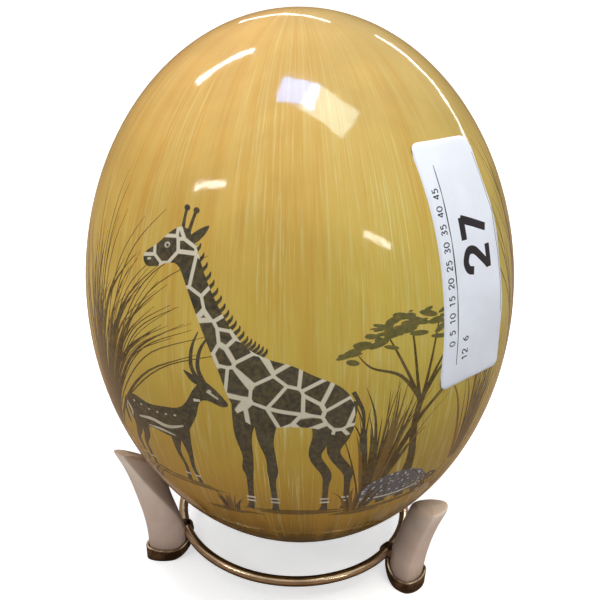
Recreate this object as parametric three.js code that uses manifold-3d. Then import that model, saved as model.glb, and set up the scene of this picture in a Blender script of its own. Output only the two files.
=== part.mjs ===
// A decorated ostrich egg on its stand: the blown egg sits in the cut tops of three bone
// legs, each leg is set in a small brass shoe, and a brass ring is soldered to the shoes.
// A paper label is stuck to the egg. Millimetres, +Z up, front towards -Y, origin on the
// table under the middle of the egg.
import * as THREE from 'three';
import { mergeVertices } from 'three/addons/utils/BufferGeometryUtils.js';
import Module from 'manifold-3d';

const wasm = await Module();
wasm.setup();

// Egg
const EGG_RADIUS = 62.5;          // half of the widest width
const EGG_HALF_LENGTH = 80;       // half of the length
const EGG_LEAN = 2;               // degrees, top towards -X, as it settled on its legs
const EGG_BANDS = 32;             // facets from pole to pole
const EGG_SIDES = 56;             // facets around

// Ring
const RING_RADIUS = 37.7;         // to the middle of the rod
const ROD_RADIUS = 1.5;
const RING_HEIGHT = 8.2;          // of the rod's middle above the table
const RING_STEPS = 72;
const ROD_SIDES = 8;
const EGG_CENTRE_HEIGHT = RING_HEIGHT + 78.4;

// Legs: each stands in its shoe and bends outwards. The reach is that of its centre line
// at the table, a taper of 1 would bring its tip to an edge, the flare is the extra half
// depth at the foot, and the foot's turn is that of the section in the shoe.
const legRow = (name, azimuth, reach, tipHeight, cutSlope, taper, footFlare, footTurn) => (
  { name, azimuth, reach, tipHeight, cutSlope, taper, footFlare, footTurn }
);
const LEGS = [
  legRow('right', 53, 44, 31.8, 0.22, 0, 1.1, 0),
  legRow('left', -69, 43.05, 42, 0.82, 0.7, 1.7, 75),
  legRow('back', 173, 44.3, 38, 0.6, 0.2, 1.1, 0),
];
const LEG_BEND = 10.3;            // how far the centre line has moved out at BEND_HEIGHT
const BEND_HEIGHT = 40;
const BEND_POWER = 1.7;
const LEG_WIDTH = 4.9;            // half thickness across the radial direction
const LEG_DEPTH = 4.65;           // half thickness along the radial direction, higher up
const FLARE_HEIGHT = 16;          // height in which most of a foot's flare is gone
const TOP_FLARE = 0.9;            // extra half depth at BEND_HEIGHT
const CORNERS = 0.1;              // how far the section leaves a round shape
const TWIST_START = 10;           // height up to which the section keeps its turn
const LEG_SIDES = 24;
const LEG_BANDS = 8;              // facets from bottom to top
const LEG_EDGE = 0.12;            // softened rim of its ends, as a share of its radius
const END_CENTRE = 0.45;          // inner ring of facets on an end, as a share of its radius
const END_BAND = 0.03;            // height of a softened rim, as a share of the height

// Shoes
const SHOE_WALL = 0.8;
const SHOE_FLOOR = 1.4;           // between the bone and the underside
const SHOE_SIDE_RIM = 3.6;        // rim height beside the leg
const SHOE_INNER_RIM = 7.5;       // rim height towards the ring
const SHOE_OUTER_RIM = 4.5;       // rim height at the outer end
const ROCKER_RISE = 5.6;          // how far the underside lifts at its inner end
const ROCKER_START = 0.2;         // where it starts to lift; 1 is the outer end, -1 the inner
const WEAR_DEPTH = 0.3;           // taken off the underside to stand flat
const SHOE_BANDS = 2;
const SHOE_EDGE = 0.2;
const SOLDER = { deep: 3.4, wide: 2.9, high: 2.8, out: 0.6, down: 0.4, sides: 12, bands: 8 };
const TABLE = { width: 200, depth: 10 };

// Label
const LABEL_WIDTH = 23;
const LABEL_LENGTH = 60;
const LABEL_THICKNESS = 0.5;
const LABEL_AZIMUTH = 43.5;
const LABEL_HEIGHT = 23.5;        // of its middle above the egg's middle
const LABEL_LEAN = 1.5;           // degrees from the meridian, top towards the right
const LABEL_COLUMNS = 5;
const LABEL_ROWS = 11;
const WALK_STEPS = 12;            // on the way over the shell from the label's middle

const FIT_GAP = 0.3;              // clearance between touching pieces
const WELD_DISTANCE = 1e-4;

const COLOURS = {
  lacquer: { color: 0xd9a23a, roughness: 0.16, metalness: 0 },
  bone: { color: 0xd9c6b2, roughness: 0.4, metalness: 0 },
  brass: { color: 0x9a7440, roughness: 0.32, metalness: 1 },
  bronze: { color: 0x4a3420, roughness: 0.45, metalness: 1 },
  paper: { color: 0xeceaf2, roughness: 0.7, metalness: 0 },
};

const radians = THREE.MathUtils.degToRad;
const finish = (name) => new THREE.MeshStandardMaterial(COLOURS[name]);

// Solids -------------------------------------------------------------------------------

function weld(geometry) {
  const bare = geometry.index ? geometry : mergeVertices(geometry);
  bare.deleteAttribute('normal');
  bare.deleteAttribute('uv');
  return mergeVertices(bare, WELD_DISTANCE);
}

function toSolid(geometry) {
  const welded = weld(geometry);
  const vertProperties = new Float32Array(welded.attributes.position.array);
  const triVerts = new Uint32Array(welded.index.array);
  return new wasm.Manifold(new wasm.Mesh({ numProp: 3, vertProperties, triVerts }));
}

function toGeometry(solid) {
  const mesh = solid.getMesh();
  const geometry = new THREE.BufferGeometry();
  geometry.setAttribute('position', new THREE.BufferAttribute(mesh.vertProperties, 3));
  geometry.setIndex(new THREE.BufferAttribute(mesh.triVerts, 1));
  geometry.computeVertexNormals();
  return geometry;
}

function reshape(geometry, move) {
  const place = geometry.attributes.position;
  const point = new THREE.Vector3();
  for (let i = 0; i < place.count; i += 1) {
    move(point.fromBufferAttribute(place, i));
    place.setXYZ(i, point.x, point.y, point.z);
  }
  return geometry;
}

// Egg ----------------------------------------------------------------------------------

// Leans what is made around the egg's own middle and lifts it to its place on the legs.
function settle(geometry) {
  return geometry.rotateY(-radians(EGG_LEAN)).translate(0, 0, EGG_CENTRE_HEIGHT);
}

// The egg's outline turned about Z, grown outwards by the given amount.
function eggGeometry(grow = 0) {
  const profile = [];
  for (let i = 0; i <= EGG_BANDS; i += 1) {
    const turn = (Math.PI * i) / EGG_BANDS;
    const radius = (EGG_RADIUS + grow) * Math.sin(turn);
    const height = -(EGG_HALF_LENGTH + grow) * Math.cos(turn);
    profile.push(new THREE.Vector2(i % EGG_BANDS === 0 ? 0 : radius, height));
  }
  const egg = new THREE.LatheGeometry(profile, EGG_SIDES);
  return weld(settle(egg.rotateX(Math.PI / 2)));
}

// Ring ---------------------------------------------------------------------------------

function ringGeometry(grow = 0) {
  const rod = new THREE.TorusGeometry(RING_RADIUS, ROD_RADIUS + grow, ROD_SIDES, RING_STEPS);
  return weld(rod.translate(0, 0, RING_HEIGHT));
}

// Legs ---------------------------------------------------------------------------------

// Outline of a post of unit radius and unit height with softened ends, for a lathe.
function softPost(edge, bands) {
  const post = [0, END_CENTRE, 1 - edge].map((radius) => new THREE.Vector2(radius, 0));
  for (let i = 0; i <= bands; i += 1) {
    const height = THREE.MathUtils.lerp(END_BAND, 1 - END_BAND, i / bands);
    post.push(new THREE.Vector2(1, height));
  }
  post.push(new THREE.Vector2(1 - edge, 1), new THREE.Vector2(0, 1));
  return new THREE.LatheGeometry(post, LEG_SIDES).rotateX(Math.PI / 2);
}

// The skin of a unit section, a rounded triangle, where it faces the given angle. An angle
// of 0 points out; the turn tells where the triangle itself points.
function section(angle, turn) {
  const reach = 1 - CORNERS * Math.cos(3 * (angle - turn));
  const slide = 3 * CORNERS * Math.sin(3 * (angle - turn));
  return {
    out: reach * Math.cos(angle) - slide * Math.sin(angle),
    side: reach * Math.sin(angle) + slide * Math.cos(angle),
  };
}

function sectionTurn(leg, height) {
  const climb = THREE.MathUtils.smoothstep(height, TWIST_START, leg.tipHeight);
  return radians(leg.footTurn) * (1 - climb);
}

function centreLine(leg, height) {
  return leg.reach + LEG_BEND * Math.max(0, height / BEND_HEIGHT) ** BEND_POWER;
}

function halfDepth(leg, height) {
  const foot = leg.footFlare * Math.exp(-((height / FLARE_HEIGHT) ** 2));
  return LEG_DEPTH + foot + TOP_FLARE * (height / BEND_HEIGHT) ** 2;
}

function halfWidth(leg, height) {
  return LEG_WIDTH * (1 - leg.taper * (height / leg.tipHeight) ** 4);
}

// Bends a unit post along a leg that stands on the +X side. The limits give the heights of
// its lower and upper ends as functions of the offset from the centre line.
function bend(post, leg, grow, lower, upper) {
  return reshape(post, (point) => {
    const angle = Math.atan2(point.y, point.x);
    const fill = Math.hypot(point.x, point.y);
    const middle = THREE.MathUtils.lerp(lower(0), upper(0), point.z);
    const skin = section(angle, sectionTurn(leg, middle));
    const out = fill * skin.out;
    const side = fill * skin.side;
    const height = THREE.MathUtils.lerp(lower(out), upper(out), point.z);
    const spread = fill * grow;
    point.x = centreLine(leg, height) + out * halfDepth(leg, height) + spread * Math.cos(angle);
    point.y = side * halfWidth(leg, height) + spread * Math.sin(angle);
    point.z = height;
  });
}

// The underside of a shoe is a rocker, lifted at its inner end.
function underside(out) {
  const lift = Math.max(0, (ROCKER_START - out) / (ROCKER_START + 1));
  return ROCKER_RISE * lift ** 2 - WEAR_DEPTH;
}

function boneGeometry(leg, grow = 0) {
  const foot = (out) => underside(out) + SHOE_FLOOR + WEAR_DEPTH - grow;
  const top = (out) => leg.tipHeight + (out - 1) * LEG_DEPTH * leg.cutSlope;
  return bend(softPost(LEG_EDGE, LEG_BANDS), leg, grow, foot, top);
}

// The leg's inner side is hollowed to cradle the egg, and nicked where the ring runs past.
function bone(leg, turn) {
  const eggRoom = toSolid(eggGeometry(FIT_GAP).rotateZ(-turn));
  const ringRoom = toSolid(ringGeometry(FIT_GAP).rotateZ(-turn));
  const hollow = eggRoom.add(ringRoom);
  return toGeometry(toSolid(boneGeometry(leg)).subtract(hollow)).rotateZ(turn);
}

// Shoes --------------------------------------------------------------------------------

// The shoe's rim dips beside the leg and stands highest towards the ring.
function shoeShell(leg) {
  const endRim = (out) => (out > 0 ? SHOE_OUTER_RIM : SHOE_INNER_RIM);
  const rim = (out) => THREE.MathUtils.lerp(SHOE_SIDE_RIM, endRim(out), out ** 2);
  return bend(softPost(SHOE_EDGE, SHOE_BANDS), leg, SHOE_WALL + FIT_GAP, underside, rim);
}

// A small lump of solder reaches from the shoe's inner wall round the ring's rod.
function solderGeometry() {
  const lump = new THREE.SphereGeometry(1, SOLDER.sides, SOLDER.bands);
  lump.rotateX(Math.PI / 2).scale(SOLDER.deep, SOLDER.wide, SOLDER.high);
  return lump.translate(RING_RADIUS + SOLDER.out, 0, RING_HEIGHT - SOLDER.down);
}

// The ring's groove can leave a loose sliver of the shoe's wall, which is dropped.
function mainBody(solid) {
  return solid.decompose().reduce((a, b) => (a.volume() > b.volume() ? a : b));
}

function shoe(leg, turn) {
  const body = toSolid(shoeShell(leg)).add(toSolid(solderGeometry()));
  const slab = new THREE.BoxGeometry(TABLE.width, TABLE.width, TABLE.depth);
  const table = toSolid(slab.translate(0, 0, -TABLE.depth / 2));
  const boneRoom = toSolid(boneGeometry(leg, FIT_GAP));
  const ringRoom = toSolid(ringGeometry(FIT_GAP).rotateZ(-turn));
  const hollow = boneRoom.add(ringRoom).add(table);
  return toGeometry(mainBody(body.subtract(hollow))).rotateZ(turn);
}

// Label --------------------------------------------------------------------------------

function onEgg(point) {
  const round = Math.hypot(point.x, point.y) / EGG_RADIUS;
  return point.divideScalar(Math.hypot(round, point.z / EGG_HALF_LENGTH));
}

function eggNormal(point) {
  const flat = EGG_RADIUS ** 2;
  const long = EGG_HALF_LENGTH ** 2;
  return new THREE.Vector3(point.x / flat, point.y / flat, point.z / long).normalize();
}

// Walks over the egg from a point, straight on in a direction, and returns both at the end.
function walk(start, heading, distance) {
  const point = start.clone();
  const ahead = heading.clone();
  for (let i = 0; i < WALK_STEPS; i += 1) {
    ahead.projectOnPlane(eggNormal(point)).normalize();
    onEgg(point.addScaledVector(ahead, distance / WALK_STEPS));
  }
  return { point, ahead };
}

function labelGeometry() {
  const turn = radians(LABEL_AZIMUTH);
  const radius = EGG_RADIUS * Math.sqrt(1 - (LABEL_HEIGHT / EGG_HALF_LENGTH) ** 2);
  const front = new THREE.Vector3(0, -radius, LABEL_HEIGHT);
  const middle = front.applyAxisAngle(new THREE.Vector3(0, 0, 1), turn);
  const heading = new THREE.Vector3(0, 0, 1).projectOnPlane(eggNormal(middle)).normalize();
  heading.applyAxisAngle(eggNormal(middle), -radians(LABEL_LEAN));
  const sheet = new THREE.BoxGeometry(
    LABEL_WIDTH, LABEL_LENGTH, LABEL_THICKNESS, LABEL_COLUMNS, LABEL_ROWS, 1,
  );
  reshape(sheet, (point) => {
    const along = walk(middle, heading, point.y);
    const across = along.ahead.cross(eggNormal(along.point));
    const spot = walk(along.point, across, point.x).point;
    const lift = FIT_GAP + LABEL_THICKNESS / 2 + point.z;
    point.copy(spot.addScaledVector(eggNormal(spot), lift));
  });
  return weld(settle(sheet));
}

// The object ---------------------------------------------------------------------------

const group = new THREE.Group();

function addPiece(name, geometry, colour) {
  const piece = new THREE.Mesh(geometry, finish(colour));
  piece.name = name;
  group.add(piece);
}

addPiece('egg', eggGeometry(), 'lacquer');
addPiece('ring', ringGeometry(), 'brass');
for (const leg of LEGS) {
  const turn = radians(leg.azimuth - 90);
  addPiece(`leg_${leg.name}`, bone(leg, turn), 'bone');
  addPiece(`shoe_${leg.name}`, shoe(leg, turn), 'bronze');
}
addPiece('label', labelGeometry(), 'paper');

export default group;
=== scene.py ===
"""Painted and lacquered ostrich egg resting on a brass ring with three bone legs."""

import math
import random

import bmesh
import bpy
import numpy as np
from bpy.props import (
    FloatProperty, FloatVectorProperty, IntProperty, PointerProperty)
from mathutils import Matrix, Vector, noise
from mathutils.geometry import delaunay_2d_cdt


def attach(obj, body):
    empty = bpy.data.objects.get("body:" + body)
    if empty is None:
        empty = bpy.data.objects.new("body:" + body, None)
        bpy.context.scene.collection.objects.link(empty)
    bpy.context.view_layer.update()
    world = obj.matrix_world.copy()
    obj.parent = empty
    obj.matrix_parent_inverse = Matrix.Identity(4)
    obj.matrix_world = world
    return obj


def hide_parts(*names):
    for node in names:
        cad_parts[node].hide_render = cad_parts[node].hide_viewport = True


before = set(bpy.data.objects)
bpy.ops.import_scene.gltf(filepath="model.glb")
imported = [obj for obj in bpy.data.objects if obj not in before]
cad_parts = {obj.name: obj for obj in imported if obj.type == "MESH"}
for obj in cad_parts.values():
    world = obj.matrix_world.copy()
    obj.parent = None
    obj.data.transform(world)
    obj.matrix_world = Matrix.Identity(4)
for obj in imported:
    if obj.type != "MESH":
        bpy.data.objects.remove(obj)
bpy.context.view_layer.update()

bl_info = {
    "name": "Painted egg on a stand",
    "version": (1, 0, 0),
    "blender": (4, 5, 0),
    "location": "View3D > Sidebar > Egg",
    "description": "Builds a lacquered painted egg, its bone and brass stand and its label",
    "category": "Add Mesh",
}

MM = 0.001
FIT_GAP = 0.3 * MM


# Properties --------------------------------------------------------------------------

def length(name, description, default):
    return FloatProperty(name=name, description=description, default=default * MM,
                         unit="LENGTH", subtype="DISTANCE", precision=5)


def angle(name, description, degrees):
    return FloatProperty(name=name, description=description,
                         default=math.radians(degrees), unit="ROTATION",
                         subtype="ANGLE")


def colour(name, description, default):
    return FloatVectorProperty(name=name, description=description, default=default,
                               subtype="COLOR", size=3, min=0.0, max=1.0)


class EggSettings(bpy.types.PropertyGroup):
    """Size of the egg and the colours painted on it."""

    radius: length("Radius", "Half of the widest width", 62.5)
    half_length: length("Half length", "Half of the distance between the poles", 80)
    centre_height: length("Centre height", "Height of the middle above the table", 86.6)
    lean: angle("Lean", "How far the top tips to the left", 2)
    columns: IntProperty(name="Columns", description="Facets round the egg",
                         default=144, min=24)
    rows: IntProperty(name="Rows", description="Facets from pole to pole",
                      default=84, min=16)
    # Painted shade: the ground darkens towards the bottom and is near black round the lower
    # pole
    ground_low_shade: colour("Low ground", "Lacquered ground near the bottom",
                       (0.34, 0.165, 0.014))
    ground_base_shade: colour("Base", "Ground round the lower pole", (0.050, 0.030, 0.010))
    ground_middle: colour("Middle ground", "Lacquered ground at mid height",
                          (0.60, 0.45, 0.080))
    ground_high: colour("High ground", "Lacquered ground near the top",
                        (0.575, 0.37, 0.112))
    pale_streak: colour("Pale streak", "Brush marks of thin cream",
                        (0.66, 0.60, 0.27))
    warm_streak: colour("Warm streak", "Brush marks of orange", (0.50, 0.24, 0.022))
    charcoal: colour("Charcoal", "Dark paint of the animals", (0.034, 0.033, 0.027))
    cream: colour("Cream", "Light paint of the markings", (0.66, 0.60, 0.47))
    umber: colour("Umber", "Grass blades", (0.026, 0.013, 0.008))
    russet: colour("Russet", "Sunlit grass blades", (0.115, 0.045, 0.014))
    slate: colour("Slate", "Tortoise shell", (0.085, 0.095, 0.125))
    leaf: colour("Leaf", "Tree canopy", (0.055, 0.062, 0.022))


class StandSettings(bpy.types.PropertyGroup):
    """Sizes and finishes of the ring, the legs and the shoes."""

    ring_radius: length("Ring radius", "To the middle of the rod", 37.7)
    rod_radius: length("Rod radius", "Half thickness of the rod", 1.5)
    ring_height: length("Ring height", "Of the rod's middle above the table", 8.2)
    leg_width: length("Leg width", "Half thickness across the radial direction", 4.9)
    leg_depth: length("Leg depth", "Half thickness along the radial direction", 4.65)
    flare_height: length("Flare height", "Where most of the flare is gone", 16)
    top_flare: length("Top flare", "Extra half depth at the bend height", 0.9)
    leg_bend: length("Leg bend", "How far the centre line moves out", 10.3)
    bend_height: length("Bend height", "Height at which the bend is measured", 40)
    shoe_wall: length("Shoe wall", "Thickness of the cup", 0.8)
    shoe_floor: length("Shoe floor", "Between the bone and the underside", 1.4)
    side_rim: length("Side rim", "Rim height beside the leg", 3.6)
    inner_rim: length("Inner rim", "Rim height towards the ring", 7.5)
    outer_rim: length("Outer rim", "Rim height at the outer end", 4.5)
    rocker_rise: length("Rocker rise", "Lift of the underside at its inner end", 5.6)
    wear_depth: length("Wear depth", "Taken off the underside to stand flat", 0.3)
    bone: colour("Bone", "Body of the bone", (0.80, 0.61, 0.50))
    # Paler bone at the tips, with painted light where the tips glow
    bone_pale_and_lit: colour("Pale bone", "Polished tips", (0.96, 0.80, 0.66))
    # Browned pores and edges, and the painted shade on the faces turned to the egg
    bone_stain_and_shade: colour("Bone stain", "Browned pores and edges", (0.26, 0.15, 0.085))
    # Brass, which on the ring is the painted highlight along the rod
    brass: colour("Brass", "Rubbed rod", (0.88, 0.72, 0.52))
    # Darkened brass, which on the ring is painted shade round the painted highlight
    tarnish_and_shade: colour("Tarnish", "Darkened brass", (0.105, 0.070, 0.050))


class LabelSettings(bpy.types.PropertyGroup):
    """Size and place of the paper label."""

    width: length("Width", "Across the label", 23)
    height: length("Height", "Along the label", 60)
    thickness: length("Thickness", "Of the paper and its glue", 0.18)
    corner: length("Corner", "Radius of the rounded corners", 1.8)
    gather: FloatProperty(name="Gather", description="Narrowing of its top right part",
                          default=0.2, min=0.0, max=1.0)
    rise: length("Rise", "Of its middle above the egg's middle", 23.5)
    azimuth: angle("Azimuth", "Round the egg, from the front to the right", 43.5)
    lean: angle("Lean", "From the meridian, top towards the right", 1.5)
    paper: colour("Paper", "Face of the label", (0.83, 0.86, 0.95))
    ink: colour("Ink", "Printed number and lines", (0.022, 0.020, 0.028))


class StageSettings(bpy.types.PropertyGroup):
    """Floor, light and camera."""

    floor: colour("Floor", "Table top", (0.90, 0.90, 0.90))
    bounce: colour("Bounce", "Table top as it throws light back up", (0.46, 0.47, 0.49))
    room: colour("Room", "What the gloss mirrors of the surroundings",
                 (0.32, 0.21, 0.13))
    ceiling: colour("Ceiling", "What the gloss mirrors from above", (0.74, 0.66, 0.56))
    glow: FloatProperty(name="Glow", description="Even light behind the table top",
                        default=0.55, min=0.0)
    sky: FloatProperty(name="Sky", description="Strength of the even light",
                       default=1.0, min=0.0)
    lens: FloatProperty(name="Lens", description="Focal length on a 36 mm sensor",
                        default=43.2, min=10.0, unit="CAMERA")


# Nodes -------------------------------------------------------------------------------

def add(tree, kind, sockets=None, **settings):
    """Adds a node; sockets are set to a value or linked to another node's output."""
    made = tree.nodes.new(kind)
    for key, value in settings.items():
        setattr(made, key, value)
    for key, value in (sockets or {}).items():
        if isinstance(value, bpy.types.NodeSocket):
            tree.links.new(value, made.inputs[key])
        else:
            made.inputs[key].default_value = value
    return made


def mix(tree, factor, low, high, blend="MIX"):
    """Colour mix; each end is a socket or a plain colour."""
    plain = lambda c: c if isinstance(c, bpy.types.NodeSocket) else (*c, 1.0)
    return add(tree, "ShaderNodeMix", {0: factor, 6: plain(low), 7: plain(high)},
               data_type="RGBA", blend_type=blend).outputs[2]


def calc(tree, operation, *values):
    return add(tree, "ShaderNodeMath", dict(enumerate(values)),
               operation=operation).outputs[0]


def times(tree, a, b):
    return calc(tree, "MULTIPLY", a, b)


def one_minus(tree, value):
    return calc(tree, "SUBTRACT", 1.0, value)


def split(tree, vector):
    return add(tree, "ShaderNodeSeparateXYZ", {0: vector}).outputs


def join(tree, *parts):
    return add(tree, "ShaderNodeCombineXYZ", dict(enumerate(parts))).outputs[0]


def attribute(tree, name):
    return add(tree, "ShaderNodeAttribute", attribute_name=name).outputs["Fac"]


def corner_colour(tree, name):
    return add(tree, "ShaderNodeVertexColor", layer_name=name).outputs


def stretch(tree, value, low, high, new_low=0.0, new_high=1.0):
    return add(tree, "ShaderNodeMapRange", {
        "Value": value, "From Min": low, "From Max": high,
        "To Min": new_low, "To Max": new_high}, interpolation_type="SMOOTHSTEP",
    ).outputs[0]


def cloud(tree, vector, scale, detail=3.0, rough=0.5, distortion=0.0):
    return add(tree, "ShaderNodeTexNoise", {
        "Vector": vector, "Scale": scale, "Detail": detail, "Roughness": rough,
        "Distortion": distortion}).outputs["Fac"]


def place_vector(tree):
    return add(tree, "ShaderNodeTexCoord").outputs["Object"]


def new_material(name):
    material = bpy.data.materials.new(name)
    material.use_nodes = True
    tree = material.node_tree
    return material, tree, tree.nodes["Principled BSDF"]


def dress(tree, surface, skin, grain, smoothest, roughest):
    """Links the base colour, and a roughness that follows the grain."""
    tree.links.new(skin, surface.inputs["Base Color"])
    tree.links.new(stretch(tree, grain, 0.0, 1.0, smoothest, roughest),
                   surface.inputs["Roughness"])


def emboss(tree, surface, height, strength, distance):
    """Links a bump of the given depth in metres."""
    bump = add(tree, "ShaderNodeBump", {"Height": height, "Strength": strength,
                                        "Distance": distance})
    tree.links.new(bump.outputs[0], surface.inputs["Normal"])


def new_group(name, inputs, outputs):
    """Shader group with named sockets: (name, kind, default) in, (name, kind) out."""
    group = bpy.data.node_groups.new(name, "ShaderNodeTree")
    for label, kind, default in inputs:
        socket = group.interface.new_socket(label, in_out="INPUT", socket_type=kind)
        if default is not None:
            socket.default_value = default
    for label, kind in outputs:
        group.interface.new_socket(label, in_out="OUTPUT", socket_type=kind)
    entry = group.nodes.new("NodeGroupInput").outputs
    leave = group.nodes.new("NodeGroupOutput").inputs
    return group, entry, leave


def mottle_group():
    """Soft blotches and fine grain, used by every finish at its own scale."""
    name = "Mottle"
    if name in bpy.data.node_groups:
        return bpy.data.node_groups[name]
    group, entry, leave = new_group(
        name,
        [("Vector", "NodeSocketVector", None), ("Blotch Scale", "NodeSocketFloat", 60.0),
         ("Grain Scale", "NodeSocketFloat", 900.0)],
        [("Blotch", "NodeSocketFloat"), ("Grain", "NodeSocketFloat")])
    blotch = cloud(group, entry["Vector"], entry["Blotch Scale"], 4.0, 0.55, 0.3)
    grain = cloud(group, entry["Vector"], entry["Grain Scale"], 3.0, 0.6)
    group.links.new(stretch(group, blotch, 0.35, 0.68), leave["Blotch"])
    group.links.new(stretch(group, grain, 0.3, 0.7), leave["Grain"])
    return group


def mottle(tree, blotch_scale, grain_scale):
    made = add(tree, "ShaderNodeGroup", {
        "Vector": place_vector(tree), "Blotch Scale": blotch_scale,
        "Grain Scale": grain_scale}, node_tree=mottle_group())
    return made.outputs["Blotch"], made.outputs["Grain"]


# Pieces ------------------------------------------------------------------------------

def new_piece(name, mesh, material, nodes):
    """Adds a finished mesh as a piece of the scene in place of CAD nodes."""
    piece = bpy.data.objects.new(name, mesh)
    bpy.context.scene.collection.objects.link(piece)
    mesh.materials.clear()
    mesh.materials.append(material)
    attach(piece, "root")
    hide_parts(*nodes)
    return piece


def to_mesh(bm, name, merge=True):
    """Smooth mesh whose faces point outwards, with its doubled corners merged."""
    if merge:
        bmesh.ops.remove_doubles(bm, verts=bm.verts, dist=0.002 * MM)
    bmesh.ops.recalc_face_normals(bm, faces=bm.faces)
    for face in bm.faces:
        face.smooth = True
    mesh = bpy.data.meshes.new(name)
    bm.to_mesh(mesh)
    bm.free()
    return mesh


def spun(profile, sides):
    """Surface from a profile of radius and height, turned about Z."""
    bm = bmesh.new()
    chain = [bm.verts.new((radius, 0, height)) for radius, height in profile]
    edges = [bm.edges.new(pair) for pair in zip(chain, chain[1:])]
    bmesh.ops.spin(bm, geom=chain + edges, cent=(0, 0, 0), axis=(0, 0, 1),
                   angle=math.tau, steps=sides, use_merge=True)
    bmesh.ops.remove_doubles(bm, verts=bm.verts, dist=1e-5)
    return bm


def settle(egg):
    """Leans the egg about its own middle and lifts it to its place on the legs."""
    lift = Matrix.Translation((0, 0, egg.centre_height))
    return lift @ Matrix.Rotation(-egg.lean, 4, "Y")


# Drawing -----------------------------------------------------------------------------
# A shape is a closed outline in millimetres with +Y up and its feet at 0.

SPLINE_STEPS = 5


def spline(points, closed):
    """Smooth line through the points."""
    count = len(points)
    points = [Vector(p) for p in points]

    def at(i):
        return points[i % count] if closed else points[min(max(i, 0), count - 1)]

    line = []
    for i in range(count if closed else count - 1):
        a, b, c, d = (at(i + k) for k in (-1, 0, 1, 2))
        for step in range(SPLINE_STEPS):
            t = step / SPLINE_STEPS
            line.append(0.5 * (2 * b + (c - a) * t + (2 * a - 5 * b + 4 * c - d) * t ** 2
                               + (3 * b - a - 3 * c + d) * t ** 3))
    return line if closed else line + [points[-1]]


def blob(*points):
    return [(p.x, p.y) for p in spline([(x, y, 0) for x, y in points], True)]


def ribbon(*points):
    """Stroke along points of x, y and full width."""
    line = spline(points, False)
    left, right = [], []
    for i, p in enumerate(line):
        ahead = line[min(i + 1, len(line) - 1)] - line[max(i - 1, 0)]
        side = Vector((-ahead.y, ahead.x)).normalized() * max(p.z, 0.08) / 2
        left.append((p.x + side.x, p.y + side.y))
        right.append((p.x - side.x, p.y - side.y))
    return left + right[::-1]


def oval(x, y, half_wide, half_high, turn=0.0, steps=14):
    c, s = math.cos(turn), math.sin(turn)
    ring = []
    for i in range(steps):
        a = math.tau * i / steps
        u, v = half_wide * math.cos(a), half_high * math.sin(a)
        ring.append((x + c * u - s * v, y + s * u + c * v))
    return ring


def giraffe():
    """Tall giraffe facing left, 102 high."""
    body = blob(
        (-8.5, 47), (-11.5, 56), (-15.5, 66), (-20, 77), (-23.5, 84.5), (-27, 85.2),
        (-31.5, 83.6), (-35.4, 83), (-37, 84.8), (-35.8, 87.2), (-31.5, 90), (-27, 93.8),
        (-23.4, 95.8), (-20.4, 95), (-18, 91), (-14.5, 82), (-9.5, 72.5), (-3.5, 64.5),
        (3, 61), (10, 59), (17, 55.5), (23, 52.5), (27, 48), (28, 42), (27, 36),
        (22.5, 35.5), (16, 38.5), (8, 39), (1, 38.5), (-4.5, 40.5))
    dark = [
        ribbon((-3.5, 46, 9), (-5, 36, 5.6), (-4.2, 27, 3.4), (-4.6, 21.5, 3.6),
               (-4.4, 17, 2.2), (-5.2, 4, 1.9), (-6, 0.4, 3.0)),
        ribbon((2.5, 46, 9), (1.6, 35, 5.2), (2.8, 27, 3.2), (3, 21, 3.4), (2.6, 16, 2.1),
               (2.6, 4, 1.9), (2.2, 0.4, 3.0)),
        ribbon((24, 47, 10), (23.8, 37, 7), (21.6, 29, 4), (25.6, 20.5, 3.4),
               (25.6, 15, 2.1), (24.8, 4, 1.9), (24.2, 0.4, 3.0)),
        ribbon((19, 46, 9), (18.4, 36, 6), (16, 28, 3.8), (19.2, 20, 3.2),
               (18.8, 14, 2.0), (18, 4, 1.9), (17.4, 0.4, 3.0)),
        ribbon((27.4, 50, 1.4), (30.4, 43, 1.1), (30.6, 36, 0.9)),
        blob((30, 37), (31.4, 36), (31.8, 31), (30.6, 26.5), (29.4, 31)),
        ribbon((-22.6, 94.5, 1.3), (-22.2, 98, 1.0), (-21.6, 101, 1.0)),
        oval(-21.5, 101.3, 1.0, 0.9),
        ribbon((-20.6, 94.5, 1.3), (-19.6, 97.6, 1.0), (-18.6, 100.4, 1.0)),
        oval(-18.4, 100.8, 1.0, 0.9),
        blob((-19.8, 93.6), (-17.5, 95.6), (-14.2, 97), (-15.6, 94.2), (-18.4, 91.8)),
    ]
    light = [oval(-27.8, 90.2, 1.15, 0.8, 0.5), oval(-34.6, 85.2, 0.9, 0.35, 0.3)]
    light += [ribbon((x - 1.5, y, 0.9), (x + 1.5, y - 0.1, 0.9)) for x, y in (
        (-5.1, 5.4), (2.6, 5.4), (24.9, 5.4), (18.1, 5.4),
        (-5.0, 7.4), (2.6, 7.4), (25.0, 7.4), (18.2, 7.4))]
    eye = [oval(-27.7, 90.1, 0.5, 0.45)]
    nape = np.linspace(-17.6, 2.0, 19)
    backs = np.interp(nape, (-17.6, -14.2, -9.5, -3.5, 2.0), (90, 82.2, 73.2, 65.4, 62))
    mane = [ribbon((x - 1.4, y - 1.2, 1.3), (x + 0.6, y + 0.7, 0.9),
                   (x + 1.0, y + 2.0, 0.3)) for x, y in zip(nape, backs)]
    return ([(s, "charcoal") for s in mane + dark] + [(body, "net")]
            + [(s, "cream") for s in light] + [(s, "charcoal") for s in eye])


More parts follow.
